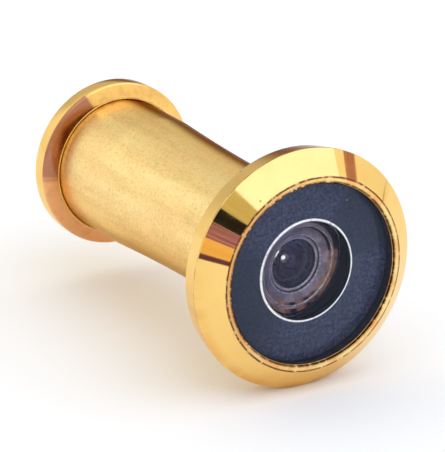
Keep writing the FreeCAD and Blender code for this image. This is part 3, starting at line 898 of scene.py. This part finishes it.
def funnel_cell(materials):
    """The black cup behind the outer glass: its stepped funnel and the seats of the small lenses."""
    plain, wear_and_sheen, wall, tread = 0, 1, 2, 3
    mouth = 5.0
    taper = 0.1
    first_step = 4.5
    first_depth = 0.5
    second_step = 3.5
    second_depth = 1.7
    slope_start = 1.05
    slope_rise = 0.08
    third_step = 3.1
    third_depth = 2.1
    edge = 0.10
    wide_edge = 0.16
    lens_seat = 2.5
    lens_bore = 3.35
    body = 4.25
    body_end = 11.4
    head = 5.65
    head_end = 3.4
    corners = [
        (mouth, 0.0, 0.0, wall),
        (mouth - taper, first_depth, 0.0, tread),
        (first_step + edge, first_depth, 0.0, wear_and_sheen),
        (first_step, first_depth + edge, 0.0, wall),
        (first_step - taper, slope_start, 0.0, tread),
        (second_step + wide_edge, second_depth - slope_rise, 0.0, wear_and_sheen),
        (second_step, second_depth + wide_edge, 0.0, plain),
        (second_step - taper, third_depth, 0.0, tread),
        (third_step + edge, third_depth, 0.0, wear_and_sheen),
        (third_step, third_depth + edge, 0.0, plain),
        (third_step, lens_seat, 0.03, plain),
        (lens_bore, lens_seat, 0.0, plain),
        (lens_bore, body_end, 0.03, plain),
        (body, body_end, 0.03, plain),
        (body, head_end, 0.0, plain),
        (head, head_end, 0.03, plain),
        (head, 0.0, 0.03, plain),
    ]
    work = spin(rounded_outline(corners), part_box("lens_cell")[0].y)
    piece = publish(work, "funnel_cell", "lens_cell", "outer_half", materials)
    even_shading(piece)


def seat_ring(materials):
    """The black washer behind the outer glass."""
    inner = 5.12
    outer = 9.2
    thickness = 0.3
    corners = [
        (inner, 0.0, 0.05, 0),
        (outer, 0.0, 0.02, 0),
        (outer, thickness, 0.02, 0),
        (inner, thickness, 0.05, 0),
    ]
    work = spin(rounded_outline(corners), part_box("front_gasket")[0].y)
    piece = publish(work, "seat_ring", "front_gasket", "outer_half", materials)
    even_shading(piece)


# The inner half


def rectangle_at(y, x0, x1, half):
    """The four corners in mm of a rectangle square to the axis."""
    return [(x0, y, -half), (x1, y, -half), (x1, y, half), (x0, y, half)]


def coin_slots(rear):
    """Cutters for the two closed coin slots in the rear face, each with a chamfered mouth."""
    depth = 1.2
    start = 5.3
    end = 7.65
    half = 0.9
    chamfer = 0.08
    beyond = 0.5
    spread = chamfer + beyond
    cutters = []
    for side in (1.0, -1.0):
        inner = start * side
        outer = end * side
        bottom = rectangle_at(rear - depth, inner, outer, half)
        top = rectangle_at(rear + beyond, inner, outer, half)
        cutters.append(frustum(bottom, top))
        bottom = rectangle_at(rear - chamfer, inner, outer, half)
        top = rectangle_at(rear + beyond, inner - spread * side, outer + spread * side, half + spread)
        cutters.append(frustum(bottom, top))
    return cutters


def barrel_sleeve(materials):
    """The barrel with its rear flange, coin slots and female thread."""
    bore = 5.75
    front_edge = 6.25
    front_chamfer = 0.25
    front_radius = 6.5
    waist_end = 22.5
    waist_hollow = 0.2063
    waist_steps = 24
    flange = 8.65
    end = 31.8
    eye = 3.8
    eye_mouth = 4.7
    eye_depth = 0.9
    lens_pocket = 4.9
    lens_shoulder = 30.3
    pocket_start = 26.3
    thread_end = 9.0
    lead = 0.15
    foot = 5.7
    foot_half = 0.43
    ridge_start = 0.6
    ridge_end = thread_end - 0.4
    taper_end = thread_end + 0.7
    barrel_front = (front_radius, front_chamfer)
    corners = [
        (bore, 0.0, 0.03, POLISHED),
        (front_edge, 0.0, 0.05, POLISHED),
        (*barrel_front, 0.05, SATIN),
    ]
    corners += bulge(barrel_front, (BARREL, waist_end), -waist_hollow, waist_steps, SATIN)
    corners += [
        (BARREL, waist_end, 0.0, SATIN),
        (BARREL, FLANGE_START, 0.3, FACE),
        (flange, FLANGE_START, 0.3, POLISHED),
        (flange, end, 0.3, POLISHED),
        (eye_mouth, end, 0.06, POLISHED),
        (eye, end - eye_depth, 0.06, MACHINED),
        (eye, lens_shoulder, 0.0, MACHINED),
        (lens_pocket, lens_shoulder, 0.0, MACHINED),
        (lens_pocket, pocket_start, 0.03, MACHINED),
        (bore, pocket_start, 0.0, MACHINED),
        (bore, thread_end + lead, 0.0, MACHINED),
        (FEMALE_ROOT, thread_end, 0.0, MACHINED),
        (FEMALE_ROOT, lead, 0.0, MACHINED),
    ]
    work = spin(rounded_outline(corners), SLEEVE_FRONT)
    base = (SLEEVE_FRONT - BEZEL_FRONT) / MM

    def envelope(depth, radius):
        """Taper the ridge off towards both ends of the thread, and keep its foot buried in the wall."""
        ramp = min(depth - base, base + taper_end - depth)
        return min(max(radius, bore - ramp), bore + BURIED)

    section = ridge_section(foot, foot_half, FEMALE_ROOT, FEMALE_CREST)
    helical_ridge(work, section, base + ridge_start, base + ridge_end, envelope, turns_from=0.1)
    piece = publish(work, "barrel_sleeve", "rear_sleeve", "inner_half", materials)
    cut_away(piece, coin_slots(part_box("rear_sleeve")[1].y / MM))
    even_shading(piece)


def set_material(node, material):
    """Give a CAD node this one material."""
    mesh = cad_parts[node].data
    mesh.materials.clear()
    mesh.materials.append(material)


# ---------------------------------------------------------------------------------------------
# Studio
# ---------------------------------------------------------------------------------------------

# The cards round the part: azimuth and elevation of the middle, width and height (all in degrees),
# colour, how far the edges fade, and how strongly a fine pattern of lines shows. The five at azimuths
# from -38 to -52 are what the left of the bevel mirrors.
CARDS = [
    (160, 26, 66, 36, (0.66, 0.64, 0.60), 0.22, 0.0),
    (20, 54, 81, 44, (1.36, 1.54, 1.98), 0.006, 0.0),
    (-38, 39, 14, 13, (0.66, 0.62, 0.40), 0.006, 0.08),
    (-43, 28, 14, 9, (0.03, 0.03, 0.04), 0.006, 0.8),
    (-47, 18.5, 14, 10, (0.44, 0.22, 0.45), 0.006, 0.55),
    (-50, 8.5, 14, 10, (0.97, 0.65, 0.30), 0.006, 0.12),
    (-52, 2, 14, 3.5, (0.155, 0.055, 0.17), 0.006, 0.3),
    (80, 26, 6, 9, (0.54, 0.27, 0.30), 0.006, 0.2),
    (97, 1.2, 1.6, 2.4, (0.30, 0.15, 0.15), 0.006, 0.0),
]


def direction(azimuth, elevation):
    """The direction with this azimuth and elevation, measured as the camera's are."""
    turn = math.radians(azimuth)
    rise = math.radians(elevation)
    return Vector((math.sin(turn) * math.cos(rise), -math.cos(turn) * math.cos(rise), math.sin(rise)))


def rightward(azimuth):
    """The level direction to the right of someone who looks at the part from this azimuth."""
    turn = math.radians(azimuth)
    return Vector((math.cos(turn), math.sin(turn), 0.0))


def card(graph, looking, colour, azimuth, elevation, width, height, shade, soft, streaks):
    """Mix one of the studio's cards into the surroundings."""
    ahead = direction(azimuth, elevation)
    aside = rightward(azimuth)
    above = ahead.cross(aside)
    depth = graph.vector("DOT_PRODUCT", looking, tuple(ahead))
    across = graph.math("DIVIDE", graph.vector("DOT_PRODUCT", looking, tuple(aside)), depth)
    upward = graph.math("DIVIDE", graph.vector("DOT_PRODUCT", looking, tuple(above)), depth)
    inside = graph.math("GREATER_THAN", depth, 0.02)
    for value, extent in ((across, width), (upward, height)):
        half = math.tan(math.radians(extent) / 2)
        edge = graph.ramp(graph.math("ABSOLUTE", value), half - soft, half + soft, 1.0, 0.0)
        inside = graph.math("MULTIPLY", inside, edge)
    lines = graph.noise(graph.stretch(looking, 30.0, 30.0, 160.0), 1.0, 3.0, 0.6)
    brightness = graph.ramp(lines, 0.35, 0.70, 1.0 - streaks, 1.0 + streaks)
    painted = graph.vector("MULTIPLY", shade, graph.join(brightness, brightness, brightness))
    return graph.mix(inside, colour, painted)


def studio_world():
    """A pale studio, a little brighter overhead, with the cards that the polished brass mirrors."""
    world = bpy.data.worlds.new("Studio")
    world.use_nodes = True
    bpy.context.scene.world = world
    graph = Graph(world.node_tree)
    looking = graph.add("ShaderNodeTexCoord").outputs["Generated"]
    split = graph.add("ShaderNodeSeparateXYZ")
    graph.put(split.inputs[0], looking)
    overhead = graph.ramp(split.outputs[2], -0.1, 0.9)
    colour = graph.mix(overhead, (0.98, 0.96, 0.91, 1.0), (1.16, 1.12, 1.01, 1.0))
    for settings in CARDS:
        colour = card(graph, looking, colour, *settings)
    background = graph.add("ShaderNodeBackground")
    graph.put(background.inputs["Color"], colour)
    background.inputs["Strength"].default_value = 1.0
    output = graph.add("ShaderNodeOutputWorld")
    graph.put(output.inputs["Surface"], background.outputs[0])


def floor():
    """A plain pale floor just under the part."""
    gap = 0.05 * MM
    bpy.ops.mesh.primitive_plane_add(size=6.0, location=(0.0, 0.0, cad_bounds[0].z - gap))
    plane = bpy.context.object
    plane.name = "floor"
    material, graph = new_material("floor_finish")
    principled(graph, base_color=(0.95, 0.95, 0.95, 1.0), roughness=0.7)
    plane.data.materials.append(material)


def main_camera():
    """The camera, aimed a little off the middle of the part."""
    data = bpy.data.cameras.new("main_camera")
    camera = bpy.data.objects.new("main_camera", data)
    bpy.context.scene.collection.objects.link(camera)
    back = direction(CAMERA_AZIMUTH, CAMERA_ELEVATION)
    aside = rightward(CAMERA_AZIMUTH)
    above = back.cross(aside)
    aim = (cad_bounds[0] + cad_bounds[1]) / 2 + aside * CAMERA_AIM_SIDEWAYS + above * CAMERA_AIM_UPWARD
    camera.location = aim + back * CAMERA_DISTANCE
    camera.rotation_mode = "QUATERNION"
    camera.rotation_quaternion = (-back).to_track_quat("-Z", "Y")
    data.lens = CAMERA_LENS
    data.clip_start = 0.01
    data.clip_end = 50.0
    bpy.context.scene.camera = camera


# ---------------------------------------------------------------------------------------------
# Making it
# ---------------------------------------------------------------------------------------------

polished = polished_brass()
machined = machined_brass()
outer_lens_glass = lens_glass("outer_glass_finish", OUTER_TINT)
inner_lens_glass = lens_glass("inner_glass_finish", INNER_TINT)
cell_finish = black_cell()
brass_finishes = [polished, satin_brass(), machined, rolled_brass(), flange_face_brass()]
bezel_and_tube(brass_finishes)
barrel_sleeve(brass_finishes)
outer_glass([outer_lens_glass, ground_glass(), black_edge(), hollow_glass()])
funnel_cell([cell_finish, cell_edge(), cell_wall(), cell_tread()])
seat_ring([black_seat()])
for node in ("second_lens", "eyepiece_lens"):
    set_material(node, inner_lens_glass)
set_material("third_lens", lens_glass("hazy_glass_finish", INNER_TINT, 0.02))
for node in ("front_spacer", "rear_spacer", "field_stop", "eyepiece_washer"):
    set_material(node, cell_finish)
dark = dark_brass()
for node in ("cell_ring", "glare_tube", "eyepiece_ring"):
    set_material(node, dark)
studio_world()
floor()
main_camera()
bpy.context.scene.view_settings.view_transform = "Standard"
